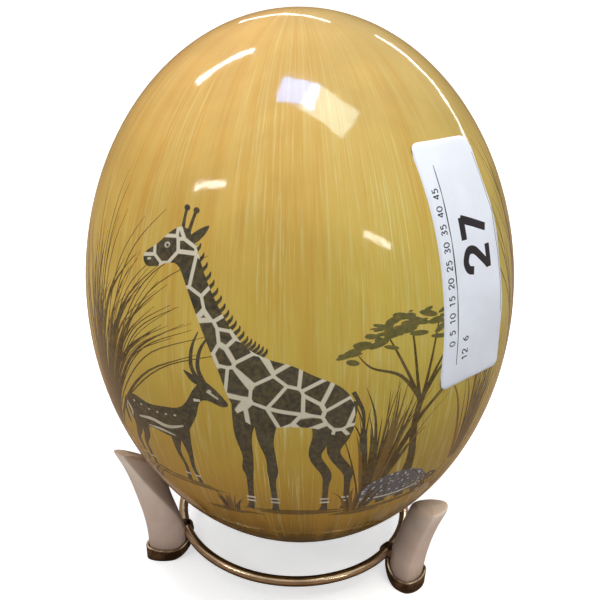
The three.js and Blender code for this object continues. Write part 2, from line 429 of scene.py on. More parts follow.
def gazelle():
    """Slender gazelle facing right, 50 high with its horns."""
    body = blob(
        (10.6, 21.5), (13.4, 26.5), (15, 31), (17.5, 32), (21.2, 30.8), (23, 31.6),
        (21.6, 33.8), (18.6, 36.6), (16.2, 37.4), (13.4, 34.5), (10.6, 30), (7.6, 27.6),
        (3, 26.6), (-3, 25.6), (-8.5, 26.4), (-12.4, 25), (-13.8, 21.4), (-12.8, 17.4),
        (-9, 16), (-3, 17.2), (4, 16.6), (8.4, 18))
    dark = [
        ribbon((8, 21, 5), (8.6, 12.6, 2.0), (8.2, 6.6, 1.3), (8.8, 0.5, 1.5)),
        ribbon((5.4, 20, 5), (4.6, 12.4, 1.9), (5.6, 6.4, 1.2), (5, 0.4, 1.5)),
        ribbon((-11, 21, 6), (-10.6, 14.6, 3.2), (-13, 8.8, 1.6), (-12, 0.5, 1.5)),
        ribbon((-8, 20, 6), (-7.4, 13.6, 3.0), (-9.6, 8.2, 1.5), (-8.6, 0.4, 1.5)),
        ribbon((-13.2, 24, 1.3), (-15.2, 20.4, 1.2), (-15.4, 16, 1.5), (-15, 13.4, 0.4)),
        ribbon((17, 36.6, 1.4), (15.2, 41, 1.2), (16, 46, 0.9), (18.6, 50.2, 0.3)),
        ribbon((16, 36.6, 1.4), (13.4, 40.8, 1.2), (13.6, 46, 0.9), (15.4, 50.6, 0.3)),
        ribbon((15.6, 36.4, 1.2), (13.4, 37.8, 1.9), (11, 39.6, 0.3)),
    ]
    light = [
        ribbon((-8.6, 19.2, 0.5), (-3, 20.4, 1.1), (3, 20, 1.1), (8.6, 22, 0.5)),
        ribbon((-5, 17.5, 0.3), (0, 18, 0.8), (5, 17.6, 0.3)),
        ribbon((17.4, 34.8, 0.8), (20.4, 33, 0.5)),
        ribbon((-13.6, 22.4, 0.4), (-12.2, 20, 1.0), (-12.4, 17.6, 0.3)),
        oval(18.1, 34.9, 0.55, 0.45),
        ribbon((13.2, 31.4, 0.9), (15.2, 31.6, 0.6)),
    ]
    light += [oval(x, y, 0.45, 0.3) for x, y in ((-9.6, 24), (-6.4, 24), (-3.2, 23.6),
                                                 (0, 23.8), (3.2, 24.2), (6.4, 24.8))]
    light += [ribbon((x - 0.9, 3.2, 0.6), (x + 0.9, 3.2, 0.6))
              for x in (8.5, 5.2, -12.3, -8.9)]
    return ([(body, "charcoal")] + [(s, "charcoal") for s in dark]
            + [(s, "cream") for s in light])


def tortoise():
    """Domed tortoise facing left, 24 long."""
    dark = [
        blob((-9, 6), (-12.4, 6.6), (-14.8, 5.4), (-14.6, 3.8), (-12, 3.2), (-9, 3.6)),
        ribbon((-7, 4, 3.6), (-8.2, 1.4, 3.0), (-8.8, 0.3, 3.0)),
        ribbon((6.6, 4, 4), (7.4, 1.4, 3.2), (7.6, 0.3, 3.0)),
        ribbon((-2.6, 3, 3), (-3.0, 0.5, 2.6)), ribbon((3.0, 3, 3), (2.8, 0.5, 2.6)),
        ribbon((9, 4, 1.8), (12.4, 2.0, 0.3)),
    ]
    shell = blob((-10.4, 3), (-10.6, 6), (-7.8, 10), (-2.6, 12.4), (2.6, 12.4),
                 (7.8, 10), (10.6, 6), (10.4, 3), (5, 2.2), (-5, 2.2))
    rim = ribbon((-10.6, 4.4, 0.5), (-5, 3.4, 0.6), (0, 3.1, 0.6), (5, 3.4, 0.6),
                 (10.6, 4.4, 0.5))
    seams = [ribbon((x * 0.8, 3.6, 0.35), (x, 7.4, 0.3), (x * 0.55, 11.8, 0.25))
             for x in (-7.6, -2.8, 2.8, 7.6)]
    return ([(s, "charcoal") for s in dark] + [(shell, "speckle"), (rim, "cream")]
            + [(s, "charcoal") for s in seams] + [(oval(-12.6, 5.4, 0.4, 0.35), "cream")])


def tuft(draw, blades, high, spread, lean=0.0, foot=3.0):
    """Fan of tapered grass blades."""
    shapes = []
    for _ in range(blades):
        side = draw.gauss(0, 0.5)
        reach = high * draw.uniform(0.62, 1.0)
        tilt = lean + spread * side
        bow = 0.16 * reach * (tilt + draw.uniform(-0.35, 0.35))
        start = foot * side * 0.7
        tip_x, tip_y = start + reach * math.sin(tilt), reach * math.cos(tilt)
        wide = draw.uniform(0.4, 1.25)
        shapes.append((ribbon(
            (start, draw.uniform(-0.5, 0.5), wide * 0.7),
            (start + 0.36 * (tip_x - start) - bow * 0.5, 0.38 * tip_y, wide),
            (start + 0.72 * (tip_x - start) - bow * 0.3, 0.76 * tip_y, wide * 0.55),
            (tip_x + bow, tip_y, 0.1)), "russet" if draw.random() < 0.3 else "umber"))
    return shapes


def twigs(draw, count, high, spread, lean=0.0):
    """Thin bare stems that bow sideways."""
    shapes = []
    for _ in range(count):
        tilt = lean + draw.uniform(-spread, spread)
        reach = high * draw.uniform(0.6, 1.0)
        x, y = reach * math.sin(tilt), reach * math.cos(tilt)
        shapes.append((ribbon((0, 0, 0.5), (0.3 * x, 0.45 * y, 0.4),
                              (0.62 * x, 0.8 * y, 0.32), (x * 1.05, y, 0.12)), "umber"))
    return shapes


def acacia(draw):
    """Flat-topped tree, 62 high."""
    shapes = [(ribbon((0, 0, 4.4), (0.4, 10, 2.8), (-0.8, 22, 2.3), (0.6, 32, 2.0)),
               "umber"),
              (ribbon((-3.5, 0, 0.4), (-0.8, 2.4, 2.0), (0.2, 7, 2.4)), "umber"),
              (ribbon((3.6, 0, 0.4), (1.0, 2.4, 2.0), (0.4, 7, 2.4)), "umber")]
    for end, height in ((-19, 47), (-11, 52), (-4, 55), (6, 54.5), (13, 50.5), (20, 45)):
        fork = 28 + 0.12 * abs(end)
        shapes.append((ribbon((0.4, fork, 1.5), (end * 0.35, fork + 9, 0.95),
                              (end * 0.8, height - 4, 0.6), (end, height, 0.25)), "umber"))
    for _ in range(64):
        x = draw.uniform(-23, 23)
        top = 57 - 0.016 * x * x
        y = top - abs(draw.gauss(0, 3.2))
        shapes.append((oval(x, y, draw.uniform(1.6, 3.4), draw.uniform(0.5, 1.05),
                            draw.uniform(-0.3, 0.3), 10), "leaf"))
    for _ in range(16):
        x = draw.uniform(-21, 21)
        y = 57.4 - 0.016 * x * x - draw.uniform(0, 3)
        shapes.append((oval(x, y, draw.uniform(0.6, 1.3), 0.3, 0.0, 8), "russet"))
    return shapes


def shade(wide, draw):
    """Brushed shadow on the ground, made of thin overlapping strokes."""
    shapes = []
    for _ in range(7):
        x = draw.uniform(-0.35, 0.35) * wide
        half = draw.uniform(0.2, 0.42) * wide
        y = draw.uniform(-1.4, 0.6)
        shapes.append((ribbon((x - half, y - 0.3, 0.1), (x - half * 0.3, y, 0.9),
                              (x + half * 0.4, y + 0.1, 0.8), (x + half, y - 0.2, 0.1)),
                       "shade"))
    return shapes


class Canvas:
    """Shapes laid on the egg in order; later ones cover earlier ones."""

    def __init__(self, egg):
        self.radius = egg.radius / MM
        self.half = egg.half_length / MM
        self.turns = np.linspace(-math.pi / 2, math.pi / 2, 2001)
        pace = np.hypot(self.radius * np.sin(self.turns), self.half * np.cos(self.turns))
        steps = (pace[1:] + pace[:-1]) / 2 * np.diff(self.turns)
        self.arcs = np.concatenate([[0.0], np.cumsum(steps)])
        self.arcs -= self.arcs[1000]
        self.reach = float(self.arcs[-1])
        self.outlines = []

    def turn_at(self, arc):
        return np.interp(arc, self.arcs, self.turns)

    def put(self, shapes, longitude, arc, size=1.0, mirror=1.0):
        """Places shapes at a longitude in degrees and a height along the shell in mm."""
        for outline, paint in shapes:
            xy = np.array(outline, float) * size
            up = arc + xy[:, 1]
            round_ = np.maximum(self.radius * np.cos(self.turn_at(up)), 4.0)
            along = (math.radians(longitude) + mirror * xy[:, 0] / round_) * self.radius
            self.outlines.append((np.stack([along, up], 1), paint))


# Longitudes are in degrees from the front to the right, heights along the shell in mm
TREES = ((27, -33, 0.86), (158, -34, 1.0), (-112, -30, 0.8))   # longitude, height, size
GRASSES = (  # kind, stems, length, spread, lean, longitude, height
    (tuft, 70, 58, 0.5, 0.16, -57, -26),
    (twigs, 22, 70, 0.7, 0.3, -55, -24),
    (tuft, 30, 90, 0.17, -0.03, 72, -36),
    (twigs, 7, 92, 0.14, -0.06, 68, -36),
    (tuft, 38, 38, 0.42, 0.16, 17, -37),
    (tuft, 28, 40, 0.45, 0.2, 46, -34),
)
FAR_TUFTS = ((108, 1.0), (134, 0.8), (-176, 1.05), (-146, 0.8), (-88, 0.9))
HERD = (  # shade's width, longitude and height, then the animal, its place, size and side
    (30, -2, -41.5, giraffe, -9, -41.5, 0.8, 1.0),
    (26, -34, -35, gazelle, -35, -34.5, 0.92, 1.0),
    (24, 25, -43, tortoise, 25, -42, 1.0, -1.0),
    (30, 117, -40, gazelle, 117, -39, 0.95, -1.0),
    (26, 88, -42, gazelle, 89, -41, 0.75, -1.0),
    (32, -166, -41, giraffe, -160, -40, 0.78, -1.0),
    (24, -128, -43, tortoise, -128, -42, 0.95, -1.0),
)
FRONT_TUFTS = (  # longitude, length
    (-50, 15), (-20, 9), (14, 13), (40, 12), (62, 15), (100, 14), (140, 16), (-175, 14),
    (-142, 12), (-100, 16), (-78, 14))


def painting(egg):
    """The whole picture: a dry plain that runs round the egg."""
    canvas = Canvas(egg)
    draw = random.Random(4)
    for place in TREES:
        canvas.put(acacia(draw), *place)
    for kind, stems, high, spread, lean, longitude, foot in GRASSES:
        canvas.put(kind(draw, stems, high, spread, lean), longitude, foot)
    for longitude, size in FAR_TUFTS:
        canvas.put(tuft(draw, 22, 40, 0.5, draw.uniform(-0.2, 0.2)), longitude, -35, size)
    for wide, longitude, foot, animal, *place in HERD:
        canvas.put(shade(wide, draw), longitude, foot)
        canvas.put(animal(), *place)
    for longitude, high in FRONT_TUFTS:
        foot = -46 + 0.2 * high
        canvas.put(tuft(draw, 10, high, 0.6, 0.0, 5.0), longitude, foot)
        canvas.put(shade(14, draw), longitude, foot)
    canvas.put(shade(17, draw), -58, -26)
    return canvas


def add_outline(points, edges, outline):
    """Adds a closed outline to the points and edges that a sheet is cut along."""
    first, count = len(points), len(outline)
    points += [Vector(p) for p in outline]
    edges += [(first + k, first + (k + 1) % count) for k in range(count)]


def cut_picture(canvas, columns, rows):
    """Triangles of the flat picture, each with the paint that covers it, or None."""
    half_round = math.pi * canvas.radius
    points = [Vector((half_round * (2 * i / columns - 1), canvas.reach * (2 * j / rows - 1)))
              for j in range(rows + 1) for i in range(columns + 1)]
    edges = []
    for outline, _ in canvas.outlines:
        add_outline(points, edges, outline.tolist())
    flat, _, faces, *_ = delaunay_2d_cdt(points, edges, [], 0, 1e-4)
    place = np.array([tuple(p) for p in flat])
    corners = np.array([tuple(f) for f in faces])
    middle = place[corners].mean(axis=1)
    paint = np.full(len(corners), -1)
    for index, (outline, _) in enumerate(canvas.outlines):
        low, high = outline.min(0), outline.max(0)
        near = np.flatnonzero(((middle > low) & (middle < high)).all(axis=1))
        if not len(near):
            continue
        x, y = middle[near, 0], middle[near, 1]
        winding = np.zeros(len(near), int)
        for (x0, y0), (x1, y1) in zip(outline, np.roll(outline, -1, axis=0)):
            side = (x1 - x0) * (y - y0) - (x - x0) * (y1 - y0)
            winding += ((y0 <= y) & (y1 > y) & (side > 0)).astype(int)
            winding -= ((y0 > y) & (y1 <= y) & (side < 0)).astype(int)
        paint[near[winding != 0]] = index
    return place, corners, paint


def paint_values(egg):
    """Colour and cover of each paint, then its net and speckle masks."""
    return {
        "charcoal": (*egg.charcoal, 1.0, 0.0, 0.0),
        "net": (*egg.charcoal, 1.0, 1.0, 0.0),
        "speckle": (*egg.slate, 1.0, 0.0, 1.0),
        "cream": (*egg.cream, 0.96, 0.0, 0.0),
        "umber": (*egg.umber, 0.94, 0.0, 0.0),
        "russet": (*egg.russet, 0.86, 0.0, 0.0),
        "leaf": (*egg.leaf, 0.92, 0.0, 0.0),
        "shade": (*egg.umber, 0.72, 0.0, 0.0),
    }


class EGG_OT_shell(bpy.types.Operator):
    """Build the painted egg as one closed shell with its picture cut into the faces"""
    bl_idname = "egg_stand.shell"
    bl_label = "Painted Egg"

    def execute(self, context):
        egg = context.scene.egg_settings
        canvas = painting(egg)
        place, corners, paint = cut_picture(canvas, egg.columns, egg.rows)
        round_, turn = place[:, 0] / canvas.radius, canvas.turn_at(place[:, 1])
        wide = egg.radius * np.cos(turn)
        spots = np.stack([wide * np.sin(round_), -wide * np.cos(round_),
                          egg.half_length * np.sin(turn)], 1)
        mesh = bpy.data.meshes.new("egg_shell")
        mesh.from_pydata(spots.tolist(), [], corners.tolist())
        values = paint_values(egg)
        rows = np.array([values[canvas.outlines[i][1]] if i >= 0 else (0.0,) * 6
                         for i in paint])
        every = np.repeat(np.pad(rows, ((0, 0), (0, 2))), 3, axis=0)
        for name, part in (("paint", every[:, :4]), ("marks", every[:, 4:])):
            layer = mesh.color_attributes.new(name, "FLOAT_COLOR", "CORNER")
            layer.data.foreach_set("color", part.ravel())
        bm = bmesh.new()
        bm.from_mesh(mesh)
        bpy.data.meshes.remove(mesh)
        bmesh.ops.dissolve_degenerate(bm, dist=1e-7, edges=bm.edges)
        mesh = to_mesh(bm, "egg_shell")
        stretch_back = Vector((egg.radius ** -2, egg.radius ** -2, egg.half_length ** -2))
        normals = [(v.co * stretch_back).normalized() for v in mesh.vertices]
        mesh.normals_split_custom_set_from_vertices(normals)
        mesh.transform(settle(egg))
        new_piece("egg_shell", mesh, lacquer(egg), ["egg"])
        return {"FINISHED"}


# Bands of the ground, from and to a height over the egg's middle in metres; the low and base
# bands are painted shade towards the bottom
GROUND_RISE = (-0.056, 0.014)
CROWN_RISE = (-0.005, 0.078)
BASE_SHADE_FALL = (-0.041, -0.067)
STREAK_RISE = (-0.072, -0.015)
# Painted light: the left side brighter and warmer, the right dimmer
SIDE_LIGHT_TINTS = ((1.14, 1.03, 0.98), (0.94, 0.98, 0.98))   # left, right
WASH = (0.10, 0.092, 0.07)        # thin grey over the dark paint
DOT = (0.42, 0.43, 0.45)          # pale dots on the tortoise's shell
BRUSH_MARKS = {  # pull along the meridian, offset, scale, detail, roughness, distortion
    "fine": (0.45, 0.0, 95.0, 5.0, 0.68, 0.1),
    "sharp": (0.28, 3.0, 190.0, 2.0, 0.5, 0.0),
    "broad": (1.2, 7.0, 9.0, 3.0, 0.55, 0.0),
    "patchy": (2.0, 5.0, 5.0, 2.0, 0.5, 0.0),
}


def brushed_ground(tree, egg, way, height, blotch):
    """Ochre ground that changes with height, under fine upright brush marks, with painted
    shade towards the bottom and painted light on the left side.
    """
    marks = {}
    for name, (pull, offset, *look) in BRUSH_MARKS.items():
        drop = calc(tree, "MULTIPLY_ADD", height, pull, offset)
        marks[name] = cloud(tree, join(tree, way[0], way[1], drop), *look)
    rise = stretch(tree, height, *GROUND_RISE)
    crown = stretch(tree, height, *CROWN_RISE)
    # Painted shade: the ground darkens below the middle
    ground = mix(tree, rise, egg.ground_low_shade, egg.ground_middle)
    ground = mix(tree, crown, ground, egg.ground_high)
    # Painted shade: near black round the lower pole
    base = times(tree, stretch(tree, height, *BASE_SHADE_FALL), 0.95)
    ground = mix(tree, base, ground, egg.ground_base_shade)
    warm = times(tree, stretch(tree, marks["broad"], 0.46, 0.70), 0.34)
    ground = mix(tree, warm, ground, egg.warm_streak)
    faded = stretch(tree, height, *STREAK_RISE, 0.3, 1.0)
    strength = times(tree, stretch(tree, marks["patchy"], 0.35, 0.62, 0.2, 0.62), faded)
    for name, low, high in (("fine", 0.52, 0.68), ("sharp", 0.60, 0.72)):
        pale = times(tree, stretch(tree, marks[name], low, high), strength)
        ground = mix(tree, pale, ground, egg.pale_streak)
    dim = times(tree, stretch(tree, marks["fine"], 0.46, 0.32), 0.28)
    ground = mix(tree, dim, ground, egg.warm_streak)
    tone = stretch(tree, blotch, 0.0, 1.0, 0.90, 1.05)
    ground = mix(tree, 1.0, ground, tone, "MULTIPLY")
    # Painted light: the ground brighter on the left and dimmer on the right
    tint = mix(tree, stretch(tree, way[0], -0.9, 0.8), *SIDE_LIGHT_TINTS)
    return mix(tree, 1.0, ground, tint, "MULTIPLY")


def painted_body(tree, egg, axis, colour_):
    """The paint with its wash, the giraffes' net and the tortoises' dots."""
    kinds = add(tree, "ShaderNodeSeparateColor",
                {0: corner_colour(tree, "marks")["Color"]}).outputs
    wash, _ = mottle(tree, 150.0, 1400.0)
    body = mix(tree, times(tree, wash, 0.3), colour_, WASH)
    net = add(tree, "ShaderNodeTexVoronoi", {"Vector": axis, "Scale": 170.0},
              feature="DISTANCE_TO_EDGE").outputs["Distance"]
    lines = times(tree, stretch(tree, net, 0.085, 0.055), kinds[0])
    body = mix(tree, lines, body, egg.cream)
    dots = add(tree, "ShaderNodeTexVoronoi", {"Vector": axis, "Scale": 780.0},
               feature="F1").outputs["Distance"]
    return mix(tree, times(tree, stretch(tree, dots, 0.36, 0.22), kinds[1]), body, DOT)


def lacquer(egg):
    """Brushed ground, picture and clear gloss."""
    material, tree, surface = new_material("Lacquered picture")
    axis = add(tree, "ShaderNodeMapping", {
        "Vector": place_vector(tree), "Location": (0, 0, egg.centre_height),
        "Rotation": (0, -egg.lean, 0)}, vector_type="TEXTURE").outputs[0]
    parts = split(tree, axis)
    heading = add(tree, "ShaderNodeVectorMath", {0: join(tree, parts[0], parts[1])},
                  operation="NORMALIZE").outputs[0]
    blotch, grain = mottle(tree, 26.0, 900.0)
    ground = brushed_ground(tree, egg, split(tree, heading), parts[2], blotch)
    picture = corner_colour(tree, "paint")
    body = painted_body(tree, egg, axis, picture["Color"])
    cover = times(tree, picture["Alpha"], one_minus(tree, times(tree, grain, 0.12)))
    dress(tree, surface, mix(tree, cover, ground, body), grain, 0.06, 0.10)
    surface.inputs["IOR"].default_value = 1.52
    swell = cloud(tree, axis, 55.0, 2.0)
    ripple = cloud(tree, axis, 330.0, 2.0)
    emboss(tree, surface, calc(tree, "ADD", swell, times(tree, ripple, 0.10)),
           0.35, 0.0006)
    return material


# Stand -------------------------------------------------------------------------------

LEGS = (  # name, azimuth, reach, tip height, cut slope, taper, flare, foot turn, soft
          # edge, share of painted shade on the inner faces
    ("right", 53, 44.0, 31.8, 0.22, 0.0, 1.1, 0, 0.20, 0.4),
    ("left", -69, 43.05, 42.0, 0.82, 0.7, 1.7, 75, 0.08, 1.0),
    ("back", 173, 44.3, 38.0, 0.6, 0.2, 1.1, 0, 0.12, 0.8),
)
BEND_POWER = 1.7
CORNERS = 0.1                     # how far the section leaves a round shape
TWIST_START = 10 * MM             # height up to which the section keeps its turn
ROCKER_START = 0.2                # where the underside lifts; 1 is the outer end
RIDGE = math.radians(60)          # from the middle of the outer face to its corner
# Soft edge of the painted shade beside the ridge
INNER_SHADE_BLEND = math.radians(24)
RIM_START = 0.97                  # share of the cup's height where it is rubbed
SOLDER_SIZE = Vector((3.2, 2.8, 2.6))
SOLDER_SHIFT = Vector((0.6, 0, -0.4))   # from the rod's middle, out and down
SOLDER_SWELL = 0.16


class Leg:
    """One leg's shape, standing on the +X side."""

    def __init__(self, stand, row):
        (self.name, azimuth, reach, tip, self.cut_slope, self.taper, flare, foot_turn,
         self.edge, self.browned) = row
        self.stand, self.reach, self.tip = stand, reach * MM, tip * MM
        self.flare = flare * MM
        self.foot_turn = math.radians(foot_turn)
        self.turn = Matrix.Rotation(math.radians(azimuth - 90), 4, "Z")

    def centre_line(self, height):
        climb = max(0.0, height / self.stand.bend_height) ** BEND_POWER
        return self.reach + self.stand.leg_bend * climb

    def half_depth(self, height):
        s = self.stand
        foot = self.flare * math.exp(-(height / s.flare_height) ** 2)
        return s.leg_depth + foot + s.top_flare * (height / s.bend_height) ** 2

    def half_width(self, height):
        return self.stand.leg_width * (1 - self.taper * (height / self.tip) ** 4)

    def underside(self, out):
        lift = max(0.0, (ROCKER_START - out) / (ROCKER_START + 1))
        return self.stand.rocker_rise * lift ** 2 - self.stand.wear_depth

    def bone_top(self, out):
        return self.tip + (out - 1) * self.stand.leg_depth * self.cut_slope

    def bone_foot(self, out):
        return self.underside(out) + self.stand.shoe_floor + self.stand.wear_depth

    def rim(self, out):
        s = self.stand
        end = s.outer_rim if out > 0 else s.inner_rim
        return s.side_rim + (end - s.side_rim) * out ** 2

    def turn_at(self, height):
        """How far the section is turned; the shoe's part keeps the foot's turn."""
        climb = (height - TWIST_START) / (self.tip - TWIST_START)
        climb = min(max(climb, 0.0), 1.0)
        return self.foot_turn * (1 - climb * climb * (3 - 2 * climb))

    def section(self, angle, height):
        """Skin of the unit section, a rounded triangle, where it faces the angle."""
        turned = 3 * (angle - self.turn_at(height))
        reach, slide = 1 - CORNERS * math.cos(turned), 3 * CORNERS * math.sin(turned)
        return (reach * math.cos(angle) - slide * math.sin(angle),
                reach * math.sin(angle) + slide * math.cos(angle))

    def inner_shade(self, angle, height):
        """Painted shade: 0 on the outer face of the bone, most on the faces turned to the
        egg.
        """
        from_ridge = abs(math.remainder(angle - self.turn_at(height), math.tau)) - RIDGE
        return self.browned * min(max(from_ridge / INNER_SHADE_BLEND + 0.5, 0.0), 1.0)

    def bend(self, bm, lower, upper):
        """Bends a unit post. A radius past 1 adds a millimetre for each tenth."""
        for vert in bm.verts:
            x, y, z = vert.co
            radius, angle = math.hypot(x, y), math.atan2(y, x)
            fill, grow = min(radius, 1.0), max(radius - 1.0, 0.0) * 10 * MM
            middle = lower(0) + (upper(0) - lower(0)) * z
            out, side = (fill * k for k in self.section(angle, middle))
            height = lower(out) + (upper(out) - lower(out)) * z
            vert.co = (self.centre_line(height) + out * self.half_depth(height)
                       + grow * math.cos(angle),
                       side * self.half_width(height) + grow * math.sin(angle), height)


def clear_of_egg(bm, egg, turn):
    """Presses the bone back from the egg, so that it cradles the shell."""
    settled = settle(egg)
    to_egg = settled.inverted() @ turn
    back = to_egg.inverted()
    wide, long = egg.radius + FIT_GAP, egg.half_length + FIT_GAP
    for vert in bm.verts:
        spot = to_egg @ vert.co
        depth = math.hypot(spot.x / wide, spot.y / wide, spot.z / long)
        if depth < 1.0:
            flat = math.sqrt(max(0.0, 1 - (spot.z / long) ** 2)) * wide
            here = math.hypot(spot.x, spot.y)
            spot.x, spot.y = spot.x * flat / here, spot.y * flat / here
            vert.co = back @ spot


def bone_profile(edge):
    """Post with a straight side and a top that rounds over by the given share."""
    bands, turns = 64, 8
    profile = [(0, 0), (0.5, 0), (0.88, 0), (0.97, 0.008)]
    side_top = 1.0 - 0.45 * edge
    profile += [(1.0, 0.03 + (side_top - 0.03) * i / bands) for i in range(bands + 1)]
    for i in range(1, turns + 1):
        turn = math.pi / 2 * i / turns
        profile.append((1 - edge * (1 - math.cos(turn)),
                        side_top + (1 - side_top) * math.sin(turn)))
    return profile + [((1 - edge) * k, 1 + 0.004 * (1 - k)) for k in (0.8, 0.55, 0.3, 0)]


class EGG_OT_legs(bpy.types.Operator):
    """Carve the three bone legs"""
    bl_idname = "egg_stand.legs"
    bl_label = "Bone Legs"

    def execute(self, context):
        egg, stand = context.scene.egg_settings, context.scene.stand_settings
        material = bone(stand)
        for row in LEGS:
            leg = Leg(stand, row)
            bm = spun(bone_profile(leg.edge), 72)
            # Mask of the painted shade on the faces turned to the egg
            inner_shade = bm.verts.layers.float.new("inner_shade")
            for vert in bm.verts:
                angle = math.atan2(vert.co.y, vert.co.x)
                vert[inner_shade] = leg.inner_shade(angle, vert.co.z * leg.tip)
            leg.bend(bm, leg.bone_foot, leg.bone_top)
            clear_of_egg(bm, egg, leg.turn)
            bmesh.ops.transform(bm, matrix=leg.turn, verts=bm.verts)
            mesh = to_mesh(bm, f"bone_{leg.name}")
            new_piece(f"bone_{leg.name}", mesh, material, [f"leg_{leg.name}"])
        return {"FINISHED"}


def bone(stand):
    """Polished bone: paler at the tip, partly as painted light, fine pores, soft brown
    staining and painted shade on the faces turned to the egg.
    """
    material, tree, surface = new_material("Polished bone")
    place = place_vector(tree)
    blotch, grain = mottle(tree, 110.0, 1500.0)
    height = split(tree, place)[2]
    # Paler towards the top: paler bone with painted light on the glowing tips
    skin = mix(tree, stretch(tree, height, 0.016, 0.038), stand.bone, stand.bone_pale_and_lit)
    drawn = add(tree, "ShaderNodeMapping", {"Vector": place, "Scale": (1, 1, 0.08)})
    fibre = cloud(tree, drawn.outputs[0], 1300.0, 2.0)
    # Painted shade on the faces turned to the egg, stronger higher up; then blotches,
    # fibres, and darker towards the foot
    stains_and_shade = (
        times(tree, attribute(tree, "inner_shade"),
              stretch(tree, height, 0.006, 0.030, 0.08, 0.5)),
        times(tree, one_minus(tree, blotch), 0.16),
        times(tree, stretch(tree, fibre, 0.6, 0.78), 0.16),
        times(tree, stretch(tree, height, 0.011, 0.002), 0.45),
    )
    for dark_mark in stains_and_shade:
        skin = mix(tree, dark_mark, skin, stand.bone_stain_and_shade)
    dress(tree, surface, skin, grain, 0.30, 0.46)
    surface.inputs["Subsurface Weight"].default_value = 0.25
    surface.inputs["Subsurface Radius"].default_value = (1.0, 0.55, 0.35)
    surface.inputs["Subsurface Scale"].default_value = 0.002
    emboss(tree, surface, fibre, 0.25, 0.0002)
    return material


class EGG_OT_shoes(bpy.types.Operator):
    """Form the three dark brass shoes and their solder"""
    bl_idname = "egg_stand.shoes"
    bl_label = "Brass Shoes"

    def execute(self, context):
        stand = context.scene.stand_settings
        material = dark_brass(stand)
        profile = cup_profile(stand)
        for row in LEGS:
            leg = Leg(stand, row)
            bm = spun(profile, 72)
            wear_and_sheen = bm.verts.layers.float.new("wear_and_sheen")
            for vert in bm.verts:
                vert[wear_and_sheen] = float(vert.co.z > RIM_START)
            leg.bend(bm, leg.underside, leg.rim)
            for vert in bm.verts:
                vert.co.z = max(vert.co.z, 0.0)
            add_solder(bm, stand)
            bmesh.ops.transform(bm, matrix=leg.turn, verts=bm.verts)
            mesh = to_mesh(bm, f"cup_{leg.name}")
            new_piece(f"cup_{leg.name}", mesh, material,
                      [f"shoe_{leg.name}"])
        return {"FINISHED"}


def cup_profile(stand):
    """Section of the cup: outside wall, rolled rim, inside wall and floor."""
    wall = 1 + (stand.shoe_wall + FIT_GAP) / MM / 10
    gap = 1 + FIT_GAP / MM / 10
    outside = [(0, 0), (0.5, 0), (0.85, 0), (1.02, 0.006)]
    outside += [(wall, 0.05 + 0.9 * i / 12) for i in range(13)]
    return outside + [(wall - 0.012, 0.985), (wall - 0.035, 1.0), (gap + 0.012, 0.99),
                      (gap, 0.95), (gap, 0.6), (gap, 0.35), (0.9, 0.3), (0, 0.3)]


def add_solder(bm, stand):
    """A lump of solder that reaches from the cup's inner wall round the rod."""
    lump = bmesh.ops.create_icosphere(bm, subdivisions=4, radius=1.0)["verts"]
    middle = Vector((stand.ring_radius, 0, stand.ring_height)) + SOLDER_SHIFT * MM
    for vert in lump:
        swell = 1 + SOLDER_SWELL * noise.noise(vert.co * 1.7 + Vector((5, 1, 2)))
        vert.co = middle + vert.co * SOLDER_SIZE * swell * MM


def dark_brass(stand):
    """Blackened brass, rubbed bright along the cup's rim."""
    material, tree, surface = new_material("Blackened brass")
    blotch, grain = mottle(tree, 240.0, 2200.0)
    height = split(tree, place_vector(tree))[2]
    skin = mix(tree, times(tree, blotch, 0.28), stand.tarnish_and_shade, stand.brass)
    low = times(tree, stretch(tree, height, 0.003, 0.0), 0.5)
    skin = mix(tree, low, skin, stand.tarnish_and_shade)
    worn_and_sheen = times(tree, attribute(tree, "wear_and_sheen"),
                 stretch(tree, blotch, 0.2, 0.8, 0.25, 0.9))
    skin = mix(tree, worn_and_sheen, skin, stand.brass)
    surface.inputs["Metallic"].default_value = 1.0
    dress(tree, surface, skin, grain, 0.30, 0.50)
    emboss(tree, surface, blotch, 0.3, 0.0003)
    return material


# Middle of the ring's painted highlight
SHEEN_SIDE = math.radians(55)    # round the rod's section, from outwards to up
OUT_OF_ROUND = 0.004              # share of its radius that the bent rod strays


class EGG_OT_ring(bpy.types.Operator):
    """Bend the brass rod to its ring"""
    bl_idname = "egg_stand.ring"
    bl_label = "Brass Ring"

    def execute(self, context):
        stand = context.scene.stand_settings
        bm = bmesh.new()
        bmesh.ops.create_circle(bm, segments=24, radius=stand.rod_radius)
        stand_up = Matrix.Translation((stand.ring_radius, 0, stand.ring_height))
        stand_up @= Matrix.Rotation(math.pi / 2, 4, "X")
        bmesh.ops.transform(bm, matrix=stand_up, verts=bm.verts)
        bmesh.ops.spin(bm, geom=bm.verts[:] + bm.edges[:], cent=(0, 0, 0),
                       axis=(0, 0, 1), angle=math.tau, steps=240, use_merge=True)
        bmesh.ops.remove_doubles(bm, verts=bm.verts, dist=0.001 * MM)
        wear_and_sheen = bm.verts.layers.float.new("wear_and_sheen")
        for vert in bm.verts:
            around = math.atan2(vert.co.y, vert.co.x)
            wave = noise.noise(Vector((math.cos(around), math.sin(around), 0.4)) * 2.2)
            grow = 1 + OUT_OF_ROUND * wave
            out = math.hypot(vert.co.x, vert.co.y) - stand.ring_radius
            section = math.atan2(vert.co.z - stand.ring_height, out)
            # Painted highlight: a bright band round the rod's upper outer side, painted
            # shade elsewhere
            vert[wear_and_sheen] = max(0.0, math.cos(section - SHEEN_SIDE)) ** 1.5
            vert.co.x *= grow
            vert.co.y *= grow
        mesh = to_mesh(bm, "ring_rod")
        new_piece("ring_rod", mesh, old_brass(stand), ["ring"])
        return {"FINISHED"}


